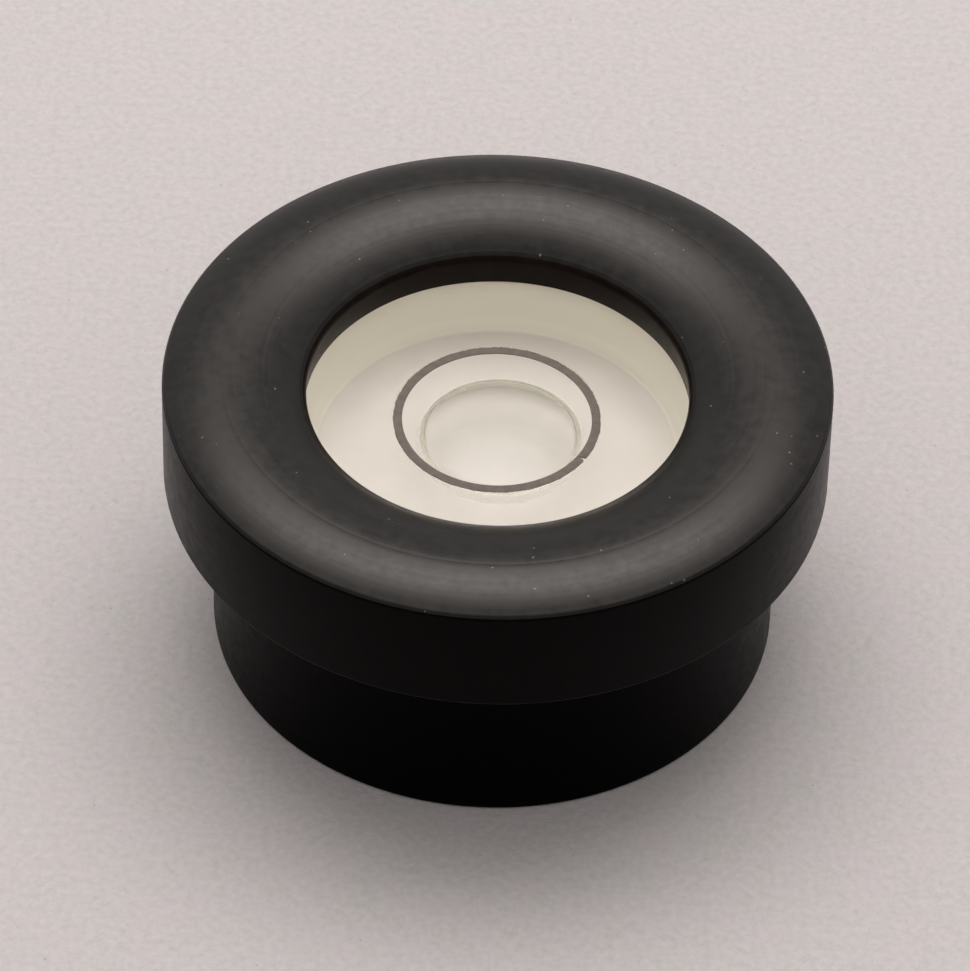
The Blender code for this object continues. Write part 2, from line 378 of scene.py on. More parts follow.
def carry_round(outline, segments, closed, ripple=None):
    """Points and faces of a turned surface.

    A point is (radius * cos(angle), radius * sin(angle), height), and ripple may add
    to the radius what it returns for (outline index, angle). Faces join each point
    to the next along the outline and the next round the axis.
    """
    outline = np.asarray(outline, dtype=float)
    angle = np.arange(segments) * 2 * np.pi / segments
    index = np.arange(len(outline))
    radius = np.repeat(outline[:, :1], segments, axis=1)
    if ripple is not None:
        radius = radius + ripple(index[:, None], angle[None, :])
    height = np.repeat(outline[:, 1:], segments, axis=1)
    points = np.stack([radius * np.cos(angle), radius * np.sin(angle), height], axis=-1)
    first = index if closed else index[:-1]
    following = np.roll(index, -1) if closed else index[1:]
    here = np.arange(segments)
    beside = np.roll(here, -1)
    corners = np.stack([
        first[:, None] * segments + here,
        following[:, None] * segments + here,
        following[:, None] * segments + beside,
        first[:, None] * segments + beside,
    ], axis=-1)
    return points.reshape(-1, 3), corners.reshape(-1, 4)


def turned_piece(name, outline, segments, closed, sharp=30, ripple=None):
    """Makes a mesh object from an outline, with its poles joined and its normals outwards."""
    points, faces = carry_round(outline, segments, closed, ripple)
    mesh = bpy.data.meshes.new(name)
    mesh.from_pydata(points.tolist(), [], faces.tolist())
    shape = bmesh.new()
    shape.from_mesh(mesh)
    bmesh.ops.remove_doubles(shape, verts=shape.verts, dist=MERGE_DISTANCE)
    bmesh.ops.recalc_face_normals(shape, faces=shape.faces)
    shape.to_mesh(mesh)
    shape.free()
    mesh.shade_smooth()
    mesh.set_sharp_from_angle(angle=math.radians(sharp))
    piece = bpy.data.objects.new(name, mesh)
    bpy.context.scene.collection.objects.link(piece)
    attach(piece, "root")
    print(name, "has", len(mesh.polygons), "faces")
    return piece


print("turning helpers ready")

# %% [markdown]
# The outlines are put together from a few kinds of line: a straight one, a part of
# an ellipse, and a corner that is eased, since no real edge is quite sharp. An
# eased edge catches a thin line of light, which a bevel modifier would give too,
# but here it costs a few points in the outline and nothing more.

# %% Draw the parts of an outline


def arc(centre, half_width, half_height, start, end, count):
    """Points of an ellipse between two angles in degrees: centre + half size * (cosine, sine)."""
    angle = np.radians(np.linspace(start, end, count))
    across = centre[0] + half_width * np.cos(angle)
    return np.stack([across, centre[1] + half_height * np.sin(angle)], axis=1)


def straight(start, end, count):
    """Evenly spaced points: start times (1 - share), plus end times share."""
    share = np.linspace(0, 1, count)[:, None]
    return np.asarray(start) * (1 - share) + np.asarray(end) * share


def ease_corner(before, corner, after, size, count=5):
    """Round join of two straight sides: a quadratic curve pulled towards the corner.

    It starts and ends as far back as size on each side, and a point on it is
    start * (1 - share)^2 + corner * 2 * share * (1 - share) + end * share^2.
    """
    before, corner, after = (np.asarray(point, dtype=float) for point in (before, corner, after))
    start = corner + (before - corner) / np.linalg.norm(before - corner) * size
    end = corner + (after - corner) / np.linalg.norm(after - corner) * size
    share = np.linspace(0, 1, count)[:, None]
    return start * (1 - share) ** 2 + corner * 2 * share * (1 - share) + end * share ** 2


print("a right-angled corner eased by 1:", ease_corner((0, 2), (0, 0), (2, 0), 1, 3).round(2).tolist())

# %% [markdown]
# ## The housing's shape
#
# The housing is one turned piece. Its rim rolls over in two arcs that meet level
# at the crest, steeper inside than outside. Where the tool changed over, it
# left a hair line at the crest and another half way down the inner slope, and the
# slope dips a little just before the opening. Bump could fake these lines, but a
# shallow groove in the outline shows from every side and is part of the mesh.

# %% Name the housing's edges and tool lines
TOUCH = 0.01 * MM
EDGE = 0.12 * MM
LIP_EDGE = 0.22 * MM
LIP_FOOT_EDGE = 0.05 * MM
RIM_EDGE = 0.20 * MM
BASE_EDGE = 0.25 * MM
THREAD_CHAMFER = 0.4 * MM
LIP_LINE_RADIUS = opening_radius + 0.36 * MM
LIP_LINE_WIDTH = 0.24 * MM
LIP_LINE_DEPTH = 0.009 * MM
TOOL_LINE_WIDTH = 0.16 * MM
TOOL_LINE_DEPTH = 0.0042 * MM
ROLL_POINTS = 90
HOUSING_SEGMENTS = 360
inner_line_radius = 0.704 * flange_radius
print("inner tool line at", round(inner_line_radius / MM, 2), "mm from the axis")

# %% Turn the housing


def roll(foot_radius, tilt, count):
    """Rolled rim from the crest to a foot radius: level at the crest, tilted where it ends.

    It is part of a circle. A point is its size times sin(angle) away from the crest, and
    its size times (1 - cos(angle)) below it, for angles from zero to the tilt.
    """
    size = abs(foot_radius - crest_radius) / math.sin(tilt)
    angle = np.linspace(0, tilt, count)
    run = size * np.sin(angle) * np.sign(foot_radius - crest_radius)
    return np.stack([crest_radius + run, crest_top - size * (1 - np.cos(angle))], axis=1)


def tool_line(outline, radius, width, depth):
    """Lowers an outline by a bell-shaped groove: depth times exp(-(offset / half the width) squared)."""
    offset = (outline[:, 0] - radius) / (width / 2)
    cut = outline.copy()
    cut[:, 1] -= depth * np.exp(-offset ** 2)
    return cut


def housing_outline():
    """Crest, outer roll, flange, spigot, base, thread, bore, lip and inner roll."""
    outer = roll(flange_radius, outer_tilt, ROLL_POINTS)
    inner = roll(opening_radius, inner_tilt, ROLL_POINTS)[::-1]
    inner = tool_line(inner, inner_line_radius, TOOL_LINE_WIDTH, TOOL_LINE_DEPTH)
    inner = tool_line(inner, LIP_LINE_RADIUS, LIP_LINE_WIDTH, LIP_LINE_DEPTH)
    flange_low = (flange_radius, flange_foot)
    neck = (spigot_radius, flange_foot)
    base = (spigot_radius, base_height)
    base_in = (thread_radius, base_height)
    step = (thread_radius, washer_foot)
    bore_top = (bore_radius, lip_foot)
    lip = (lip_foot_radius, lip_foot)
    parts = [
        outer[outer[:, 0] < flange_radius - RIM_EDGE],
        ease_corner(outer[-2], outer[-1], flange_low, RIM_EDGE, 9),
        ease_corner(outer[-1], flange_low, neck, EDGE),
        ease_corner(flange_low, neck, base, EDGE),
        ease_corner(neck, base, base_in, BASE_EDGE),
        ease_corner(base, base_in, step, THREAD_CHAMFER, 2),
        [step, (bore_radius, washer_foot), bore_top],
        ease_corner(bore_top, lip, inner[0], LIP_FOOT_EDGE, 3),
        ease_corner(lip, inner[0], inner[1], LIP_EDGE, 8),
        inner[inner[:, 0] > opening_radius + LIP_EDGE][:-1],
    ]
    outline = np.concatenate([np.asarray(part) for part in parts])
    return tool_line(outline, crest_radius, TOOL_LINE_WIDTH, TOOL_LINE_DEPTH)


housing = turned_piece("housing_turned", housing_outline(), HOUSING_SEGMENTS, closed=True)
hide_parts("housing")

# %% [markdown]
# ## The housing's finish
#
# The housing is black anodised aluminium: nearly black, with a satin gloss that
# comes from the clear oxide layer. A metallic shader would be wrong, because the
# dye hides the metal. The colour is a very dark dielectric, and turning marks,
# cloudy patches, grain and dust break up its gloss.

# %% Write the recipe for anodised black
MARK_ROUGHNESS = (0.27, 0.36)
CLOUD_ROUGHNESS = (-0.01, 0.06)
BLOTCH_ROUGHNESS = (-0.03, 0.03)
MARK_BUMP = 0.6
GRAIN_BUMP = 0.4
CLOUD_BUMP = 1.5
BLACK_BUMP_STRENGTH = 0.5
BLACK_BUMP_DISTANCE = 0.004 * MM
POWDER_STRENGTH = 0.22
POWDER_COLOUR = (0.20, 0.18, 0.165, 1)
SPECK_COLOUR = (0.16, 0.15, 0.14, 1)
WARM_GLINT = (1.0, 0.955, 0.925, 1)


def make_anodised_black(name, gloss_level, darkest, palest):
    """Dark base, satin gloss varied by the marks and by cloudy patches, and pale specks of dust."""
    material, tree, shader = start_material(name)
    marks = use_group(tree, turning_marks, Fine_Per_Mm=7.0, Broad_Per_Mm=1.2).outputs["Height"]
    grain = use_group(tree, fine_grain, Per_Mm=5.0).outputs["Height"]
    clouds = use_group(tree, fine_grain, Per_Mm=1.6, Detail=5.0).outputs
    blotches = use_group(tree, fine_grain, Per_Mm=2.6, Detail=3.0).outputs["Height"]
    specks = use_group(tree, settled_dust, Cells_Per_Mm=1.7, Largest=0.13, Share=0.26).outputs["Mask"]
    powder = use_group(tree, settled_dust, Cells_Per_Mm=4.6, Largest=0.15, Share=0.10).outputs["Mask"]
    plain = blend_colours(tree, clouds["Mottle"], darkest, palest)
    powdered = blend_colours(tree, sums(tree, "MULTIPLY", powder, POWDER_STRENGTH), plain, POWDER_COLOUR)
    colour = blend_colours(tree, specks, powdered, SPECK_COLOUR)
    by_marks = ramp(tree, marks, NOISE_LOW, 1.0, *MARK_ROUGHNESS, smooth=False)
    by_clouds = ramp(tree, clouds["Height"], NOISE_LOW, NOISE_HIGH, *CLOUD_ROUGHNESS, smooth=False)
    by_blotches = ramp(tree, blotches, NOISE_LOW, NOISE_HIGH, *BLOTCH_ROUGHNESS, smooth=False)
    roughness = sums(tree, "ADD", by_marks, sums(tree, "ADD", by_clouds, by_blotches))
    fine_marks = sums(tree, "MULTIPLY", marks, MARK_BUMP)
    fine = sums(tree, "ADD", fine_marks, sums(tree, "MULTIPLY", grain, GRAIN_BUMP))
    height = sums(tree, "ADD", fine, sums(tree, "MULTIPLY", clouds["Height"], CLOUD_BUMP))
    links = {"Height": height, "Strength": BLACK_BUMP_STRENGTH, "Distance": BLACK_BUMP_DISTANCE}
    tree.links.new(colour, shader.inputs["Base Color"])
    tree.links.new(roughness, shader.inputs["Roughness"])
    tree.links.new(node(tree, "ShaderNodeBump", links).outputs[0], shader.inputs["Normal"])
    shader.inputs["Specular IOR Level"].default_value = gloss_level
    shader.inputs["Specular Tint"].default_value = WARM_GLINT
    return material


print("the marks alone give a roughness from", MARK_ROUGHNESS[0], "to", MARK_ROUGHNESS[1])

# %% [markdown]
# In the photograph the rim shines softly. The other four blacks are copies of its
# recipe with painted light and shade: the rim's two edges are painted darker, as
# painted shade for the dark that they reflect; the lip round the window is painted
# brownish, as painted warm light from the ivory cup; and the flange's side and the
# walls below the rim are painted a deeper black still, as painted shade for the
# shaded paper that they face and the flange's shadow. A mask could blend these in
# one material, but the level of gloss stays a plain number on each. So the recipe
# makes five materials, and each face wears the one that its place and its slope call for.

# %% Make the five blacks
satin_black = make_anodised_black(
    "satin black rim", 0.50, (0.0036, 0.0032, 0.0031, 1), (0.0078, 0.0068, 0.0064, 1))
# Painted shade: darker and less glossy, for the dark that the rim's two edges reflect.
rim_edges_painted_shade = make_anodised_black(
    "rim edges, black with painted shade", 0.30, (0.0030, 0.0025, 0.0023, 1), (0.0062, 0.0050, 0.0045, 1))
# Painted shade: the flange's side faces shaded paper, so it is painted nearly black, with little gloss.
flange_side_painted_shade = make_anodised_black(
    "flange side, black with painted shade", 0.04, (0.0004, 0.0003, 0.0003, 1), (0.0009, 0.0007, 0.0006, 1))
# Painted shade: the walls below lie in the flange's shadow, so they are painted blacker still.
walls_painted_shade = make_anodised_black(
    "walls, black with painted shade", 0.025, (0.0002, 0.0001, 0.0001, 1), (0.0004, 0.0003, 0.0003, 1))
# Painted warm light: brown and a little paler, for the light that the ivory cup throws on the lip.
lip_painted_warm_light = make_anodised_black(
    "lip, black with painted warm light", 0.06, (0.0062, 0.0038, 0.0030, 1), (0.0098, 0.0060, 0.0049, 1))
blacks = [satin_black, lip_painted_warm_light, flange_side_painted_shade, walls_painted_shade, rim_edges_painted_shade]
print("blacks:", [black.name for black in blacks])

# %% [markdown]
# Each face of a mesh holds the number of the material that it wears. Picked by
# hand, those numbers would be lost whenever the outline changed. A rule works
# them out instead, from where the middle of a face lies and which way it looks.

# %% Give each face of the housing its black
# The strip by the opening and the rim's outer edge wear the black with painted shade.
PAINTED_SHADE_WIDTH = 0.32 * MM
LIP_SLOPE = 0.74
RIM_SLOPE = 0.45
PAINTED_SHADE_SLOPE = 0.80
FACING_DOWN = -0.5


def paint_faces(piece, materials, choose):
    """Gives a piece several materials.

    choose takes each face's distance from the axis, its height and its normal, as
    whole arrays, and returns the number of the material that each face wears.
    """
    for material in materials:
        piece.data.materials.append(material)
    count = len(piece.data.polygons)
    centres = np.empty(count * 3)
    piece.data.polygons.foreach_get("center", centres)
    normals = np.empty(count * 3)
    piece.data.polygons.foreach_get("normal", normals)
    centres, normals = centres.reshape(-1, 3), normals.reshape(-1, 3)
    across = np.hypot(centres[:, 0], centres[:, 1])
    chosen = choose(across, centres[:, 2], normals).astype(np.int32)
    piece.data.polygons.foreach_set("material_index", chosen)
    print(piece.name, "faces of each material:", np.bincount(chosen, minlength=len(materials)).tolist())


def housing_finish(across, height, normals):
    """The number of a face's black.

    It is 0, satin, on the rim and beneath; 4, darker as painted shade, at the rim's two
    edges; 1, brown as painted warm light, on the lip; 2, painted shade, on the flange's
    side; and 3, the deepest painted shade, elsewhere.
    """
    above_vial = height > lip_foot - TOUCH
    facing_up = above_vial & (normals[:, 2] > np.where(across < crest_radius, LIP_SLOPE, RIM_SLOPE))
    facing_down = (normals[:, 2] < FACING_DOWN) & (across > thread_radius - TOUCH)
    near_lip = across < opening_radius + PAINTED_SHADE_WIDTH
    near_flange = (across > crest_radius) & (normals[:, 2] < PAINTED_SHADE_SLOPE)
    # Painted shade at the rim's two edges.
    painted_shade_edges = facing_up & (near_lip | near_flange)
    # Painted warm light on the lip.
    at_lip = above_vial & (across < lip_foot_radius + TOUCH)
    # Painted shade on the flange's side; the faces left over get the deepest painted shade.
    on_flange = (height > flange_foot) & (across > crest_radius)
    return np.select([painted_shade_edges, facing_up | facing_down, at_lip, on_flange], [4, 0, 1, 2], 3)


paint_faces(housing, blacks, housing_finish)

# %% [markdown]
# ## The vial's optics
#
# Acrylic and spirit bend light almost alike, so the face between them hardly
# shows, while the faces that meet air do. Modelled as they are, with a hair's gap
# between them, they would show false mirrors. So one refractive index stands
# for both, and a face where the two touch is see-through. Only the faces that meet
# air bend light: the window's top, its patch over the bubble, and the bubble's wall.
#
# Light that reaches the cup through bent faces would take a renderer very long to
# find. So these faces let a shadow ray pass, and a diffuse ray as far as it
# wouldn't be mirrored there. The camera still sees them bend and reflect.

# %% Make the clear materials
CLEAR_INDEX = 1.43
ENTERING_SHARE = 0.90
WALL_GLINT = 0.35
TRANSPARENT_BOUNCES = 48
DIFFUSE_BOUNCES = 8


def make_clear(name, glint):
    """Clear solid or liquid: full transmission, with Alpha one less what passes straight through.

    A shadow ray passes by the share that enters, and a diffuse ray by one less the
    share that is mirrored.
    """
    material, tree, shader = start_material(name)
    path = node(tree, "ShaderNodeLightPath").outputs
    mirrored = node(tree, "ShaderNodeFresnel", {"IOR": CLEAR_INDEX}).outputs[0]
    escaping = sums(tree, "MULTIPLY", path["Is Diffuse Ray"], sums(tree, "SUBTRACT", 1.0, mirrored))
    entering = sums(tree, "MULTIPLY", path["Is Shadow Ray"], ENTERING_SHARE)
    unbent = sums(tree, "MAXIMUM", entering, escaping)
    tree.links.new(sums(tree, "SUBTRACT", 1.0, unbent), shader.inputs["Alpha"])
    shader.inputs["Base Color"].default_value = (1, 1, 1, 1)
    shader.inputs["Roughness"].default_value = 0.0
    shader.inputs["IOR"].default_value = CLEAR_INDEX
    shader.inputs["Transmission Weight"].default_value = 1.0
    shader.inputs["Specular Tint"].default_value = (glint, glint, glint, 1)
    return material


def make_wetted():
    """Face that light passes straight through."""
    material, _, shader = start_material("wetted face")
    shader.inputs["Alpha"].default_value = 0.0
    shader.inputs["Transmission Weight"].default_value = 1.0
    return material


bpy.context.scene.cycles.transparent_max_bounces = TRANSPARENT_BOUNCES
bpy.context.scene.cycles.diffuse_bounces = DIFFUSE_BOUNCES
clear_acrylic = make_clear("clear acrylic", 1.0)
clear_spirit = make_clear("clear spirit", WALL_GLINT)
wetted_face = make_wetted()
print("clear materials:", clear_acrylic.name, "and", clear_spirit.name)

# %% [markdown]
# ## The well
#
# The cup's hollow, or well, has a flat floor, a rounded foot and a wall that leans
# out, so that the moulding comes off its tool. The window closes it with a very
# shallow dome underneath, which brings the bubble to the middle. Spirit, window
# and cup all share these faces, so each is written once.

# %% Work out the well's faces
WELL_DRAFT = math.radians(10.2)
WELL_CORNER = 0.3 * MM


def dome_height(radius):
    """Height of the window's hollow underside: a sphere's sqrt(R^2 - radius^2), set on the land."""
    rise = np.sqrt(dome_radius ** 2 - np.square(radius)) - math.sqrt(dome_radius ** 2 - well_radius ** 2)
    return window_land + rise


def well_wall(height):
    """Radius of the well's wall: its radius at the window's land, plus the rise times tan(draft)."""
    return well_radius + (height - window_land) * math.tan(WELL_DRAFT)


def well_side(inset, rim_height):
    """The rounded foot and the leaning wall of the well up to a height, set in by a gap."""
    centre = (0, well_floor + inset)
    foot = (well_wall(well_floor) - inset, well_floor + inset)
    rim = (well_wall(rim_height) - inset, rim_height)
    return np.concatenate([ease_corner(centre, foot, rim, WELL_CORNER, 9), [rim]])


print("the dome rises", round(float(dome_height(0) - window_land) / MM, 3), "mm")

# %% [markdown]
# ## The bubble
#
# The bubble is air pressed up against the window by the spirit round it. Its form
# is a balance: surface tension pulls it round, and the weight of the spirit
# flattens it. The exact curve has no short formula, so two simple curves that meet
# at the widest place stand for it. Below, it is fuller than an ellipse, and
# above, it curls in to the window at a small angle.

# %% Work out the bubble's wall
bubble_radius = 3.77 * MM
mouth_radius = 3.34 * MM
bubble_shoulder = 1.0 * MM
bubble_film = 0.12 * MM
WETTING_ANGLE = 15
FULLNESS = 2.7
LOWER_POINTS = 60
UPPER_POINTS = 40


def bubble_wall():
    """Outline of the bubble from its foot to its mouth under the window.

    Below its widest place the radius grows with sin(angle)^(2 / fullness), and the depth
    shrinks with cos(angle)^(2 / fullness). Above, it is part of an ellipse.
    """
    widest = float(dome_height(mouth_radius)) - TOUCH - bubble_shoulder
    foot = well_floor + bubble_film
    angle = np.linspace(0, np.pi / 2, LOWER_POINTS)[:-1]
    power = 2 / FULLNESS
    lower = np.stack([
        bubble_radius * np.sin(angle) ** power,
        widest - (widest - foot) * np.cos(angle) ** power,
    ], axis=1)
    end = 90 - WETTING_ANGLE
    half_width = (bubble_radius - mouth_radius) / (1 - math.cos(math.radians(end)))
    half_height = bubble_shoulder / math.sin(math.radians(end))
    upper = arc((bubble_radius - half_width, widest), half_width, half_height, 0, end, UPPER_POINTS)
    return np.concatenate([lower, upper])


wall = bubble_wall()
print("bubble is", round((wall[:, 1].max() - wall[:, 1].min()) / MM, 2), "mm thick")

# %% [markdown]
# ## The spirit
#
# The spirit fills what the bubble leaves of the well. It could be two surfaces,
# one for the bubble and one for the well, but as one closed solid it has a clear
# inside and outside, which bent light needs. The real bubble rests a hair to one
# side of the middle, because nothing stands quite level, so the middle of the
# solid is moved that way.

# %% Make the spirit
DRIFT = 0.17 * MM
DRIFT_CORE = 4 * MM
VIAL_SEGMENTS = 256
NEAR_LAND = 0.1 * MM
FACING_UP = 0.9


def spirit_outline():
    """The bubble's wall, the face under the window, the side and the foot."""
    under = np.linspace(wall[-1, 0], well_radius - TOUCH, 24)[1:-1]
    surface = np.stack([under, dome_height(under) - TOUCH], axis=1)
    rising = well_side(TOUCH, window_land)[::-1]
    foot = straight(rising[-1], (0, well_floor + TOUCH), 12)[1:]
    return np.concatenate([wall, surface, rising, foot])


def spirit_faces(across, height, normals):
    """Clear on the bubble's wall: inside its radius, off the floor, and not the face under the window."""
    off_floor = height > well_floor + bubble_film / 2
    under_window = (normals[:, 2] > FACING_UP) & (height > window_land - NEAR_LAND)
    return np.where((across < bubble_radius) & off_floor & ~under_window, 0, 1)


def drift(piece, below):
    """Moves the middle of a piece along X with the bubble, where it lies below a height.

    The move is DRIFT times a share that is one near the axis and falls evenly to none at
    the well's wall.
    """
    places = np.empty(len(piece.data.vertices) * 3)
    piece.data.vertices.foreach_get("co", places)
    places = places.reshape(-1, 3)
    from_axis = np.hypot(places[:, 0], places[:, 1])
    share = np.clip((well_radius - from_axis) / (well_radius - DRIFT_CORE), 0, 1)
    places[:, 0] += DRIFT * share * (places[:, 2] < below)
    piece.data.vertices.foreach_set("co", places.ravel())


spirit = turned_piece("spirit", spirit_outline(), VIAL_SEGMENTS, closed=False, sharp=40)
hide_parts("spirit_fill")
paint_faces(spirit, [clear_spirit, wetted_face], spirit_faces)
drift(spirit, window_top)

# %% [markdown]
# ## The window
#
# The window is a clear acrylic disc, bonded into the leaning wall of the cup. Its
# top is flat and polished, with a thin groove cut in it for the ring. The ring could
# be drawn in the window's material instead, but glass blended with paint is hard to
# get right, and a groove can hold the paint as a piece of its own.

# %% Make the window
GROOVE_DEPTH = 0.1 * MM
WINDOW_CHAMFER = 0.04 * MM
TOP_BAND = 0.09 * MM
UNDERSIDE_DROP = 1 * MM
groove_foot = window_top - GROOVE_DEPTH


def window_outline():
    """Flat top with the engraved groove, a small chamfer, the edge and the dome underneath."""
    edge = well_wall(window_top) - TOUCH / 2
    land = well_radius - TOUCH / 2
    under = np.concatenate([np.linspace(land, mouth_radius, 30)[:-1], np.linspace(mouth_radius, 0, 20)])
    parts = [
        straight((0, window_top), (ring_inner, window_top), 12),
        [(ring_inner, groove_foot), (ring_outer, groove_foot), (ring_outer, window_top)],
        straight((ring_outer, window_top), (edge - WINDOW_CHAMFER, window_top), 12)[1:],
        [(edge, window_top - WINDOW_CHAMFER)],
        np.stack([under, dome_height(under)], axis=1),
    ]
    return np.concatenate([np.asarray(part) for part in parts])


def window_faces(across, height, normals):
    """Clear on the faces that meet air: the top, and the patch of the underside over the bubble."""
    in_groove = (across > ring_inner - TOUCH) & (across < ring_outer + TOUCH)
    on_top = (height > window_top - TOP_BAND) & ~in_groove
    over_bubble = (across < mouth_radius) & (height < window_top - UNDERSIDE_DROP)
    return np.where(on_top | over_bubble, 0, 1)


window = turned_piece("window", window_outline(), VIAL_SEGMENTS, closed=False)
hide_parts("vial_window")
paint_faces(window, [clear_acrylic, wetted_face], window_faces)
drift(window, window_top - UNDERSIDE_DROP)

# %% [markdown]
# ## The cup
#
# The cup is moulded in ivory plastic, so that the bubble and the ring show
# against a pale ground. It is turned from the well's own faces, so it fits close
# round the spirit and the window. Real ivory plastic lets some light sink in and
# come out again. Subsurface scattering could do that, slowly. Here light bounces
# many times between the wall and the floor, and the wall is painted much paler than
# the floor: painted light for that glow and for the light that reaches the real wall
# through the window. The paler colour starts right at the floor, so it also paints
# out the shade in the rounded foot.

# %% Make the cup
CUP_EDGE = 0.3 * MM
WALL_BLEND_MM = 0.12
FLOOR_DARKER = (0.780, 0.736, 0.682, 1)
FLOOR_PALER = (0.800, 0.756, 0.702, 1)
# Painted light: the wall is much paler than the floor, for light that the real cup gets through its
# window.
WALL_IVORY_PAINTED_LIGHT = (0.985, 0.955, 0.860, 1)
IVORY_ROUGHNESS = 0.5


def cup_outline():
    """Well floor, rounded corner, wall, rim, outside and foot."""
    side_of_well = well_side(0, cup_rim)
    parts = [
        straight((0, well_floor), side_of_well[0], 10)[:-1],
        side_of_well,
        [(cup_radius, cup_rim)],
        ease_corner((cup_radius, cup_rim), (cup_radius, cup_foot), (0, cup_foot), CUP_EDGE),
        [(0, cup_foot)],
    ]
    return np.concatenate([np.asarray(part) for part in parts])


def make_ivory():
    """Warm pale plastic: a faintly mottled floor, blended by height into a paler wall that is painted
    light.
    """
    material, tree, shader = start_material("ivory plastic")
    mottle = use_group(tree, fine_grain, Per_Mm=0.6, Detail=2.0).outputs["Mottle"]
    height = node(tree, "ShaderNodeSeparateXYZ", {0: millimetres(tree)}).outputs[2]
    # Painted light: the paler wall colour begins right at the floor, over the rounded foot.
    on_wall = ramp(tree, height, well_floor / MM, well_floor / MM + WALL_BLEND_MM)
    on_floor = blend_colours(tree, mottle, FLOOR_DARKER, FLOOR_PALER)
    tree.links.new(blend_colours(tree, on_wall, on_floor, WALL_IVORY_PAINTED_LIGHT), shader.inputs["Base Color"])
    shader.inputs["Roughness"].default_value = IVORY_ROUGHNESS
    return material


cup = turned_piece("cup", cup_outline(), VIAL_SEGMENTS, closed=False)
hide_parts("vial_cup")
cup.data.materials.append(make_ivory())

# %% [markdown]
# ## The target ring
#
# The ring is grey-brown paint wiped into the engraved line. Wiping leaves its outer
# edge a little ragged, with one nick at the front right. A mask could cut the edge,
# but the paint is thin and seen close to, so its real outline is moved instead: a
# few waves of different lengths round the ring never repeat in step.

# %% Make the ring
PAINT_EDGE = 0.040 * MM
PAINT_MEAN = 0.9
PAINT_SWING = 0.7
NICK_DEPTH = 7.6
NICK_ANGLE = math.radians(328.6)
NICK_WIDTH = math.radians(0.85)
RING_SEGMENTS = 720
PAINT_DARKER = (0.125, 0.101, 0.084, 1)
PAINT_PALER = (0.152, 0.126, 0.105, 1)
PAINT_ROUGHNESS = 0.6


def ragged(index, angle):
    """Moves the outer edge in by PAINT_EDGE times (mean + swing * waves + nick), and no other point.

    The waves are sines of the angle with 23, 57, 97 and 151 turns, the last two swelling
    and fading. The nick is exp(-(angle from it / its width)^4).
    """
    waves = 0.4 * np.sin(23 * angle + 1) + 0.25 * np.sin(57 * angle)
    waves = waves + 0.35 * np.sin(97 * angle + 2) * np.sin(3 * angle)
    waves = waves + 0.3 * np.sin(151 * angle) * np.cos(2 * angle)
    nick = NICK_DEPTH * np.exp(-((angle - NICK_ANGLE) / NICK_WIDTH) ** 4)
    outer = np.where((index == 1) | (index == 2), 1.0, 0.0)
    return -outer * PAINT_EDGE * (PAINT_MEAN + PAINT_SWING * waves + nick)


def make_ring_paint():
    """Grey-brown paint, a little patchy."""
    material, tree, shader = start_material("ring paint")
    patches = use_group(tree, fine_grain, Per_Mm=3.0, Detail=4.0).outputs["Mottle"]
    tree.links.new(blend_colours(tree, patches, PAINT_DARKER, PAINT_PALER), shader.inputs["Base Color"])
    shader.inputs["Roughness"].default_value = PAINT_ROUGHNESS
    return material


paint_foot = groove_foot + TOUCH / 2
ring_line = [
    (ring_inner, ring_top),
    (ring_outer, ring_top),
    (ring_outer, paint_foot),
    (ring_inner, paint_foot),
]
ring = turned_piece("ring_paint_line", ring_line, RING_SEGMENTS, closed=True, ripple=ragged)
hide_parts("target_ring")
ring.data.materials.append(make_ring_paint())

# %% [markdown]
# ## The hidden pieces
#
# Beneath the cup lie a rubber washer, which presses the vial up against the
# housing's lip, and a screwed plug, which closes the housing. Only the plug is seen,
# and only from below. Their solids have the right shape already, so the frame's own
# nodes stay and get a better material: matt rubber, and the housing's satin black.

# %% Finish the washer and the plug
RUBBER_COLOUR = (0.02, 0.02, 0.02, 1)
RUBBER_ROUGHNESS = 0.85


def make_rubber():
    """Black sheet rubber."""
    material, _, shader = start_material("black rubber")
    shader.inputs["Base Color"].default_value = RUBBER_COLOUR
    shader.inputs["Roughness"].default_value = RUBBER_ROUGHNESS
    return material


for hidden, finish in (("cushion_washer", make_rubber()), ("base_plug", satin_black)):
    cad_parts[hidden].data.materials.clear()
    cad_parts[hidden].data.materials.append(finish)
    print(hidden, "wears", finish.name)

# %% [markdown]
# ## The paper
#
# The level stands on plain pale paper. A flat colour would look like plastic, and
# no image of paper is used here. Paper has broad blotches of tone, a fibrous
# grain, faint single fibres and a few flecks, so each of these is one pattern.
# A fibre is a thin curved line: the place where a bent noise crosses its middle.
# Sunk fibres are painted darker and raised ones paler, as painted shade and painted
# light on top of their bump.

# %% Make the fibre group
LINE_DETAIL = 1.0
PATCH_FINER = 1.7
PATCH_START = 0.55
PATCH_FULL = 0.65


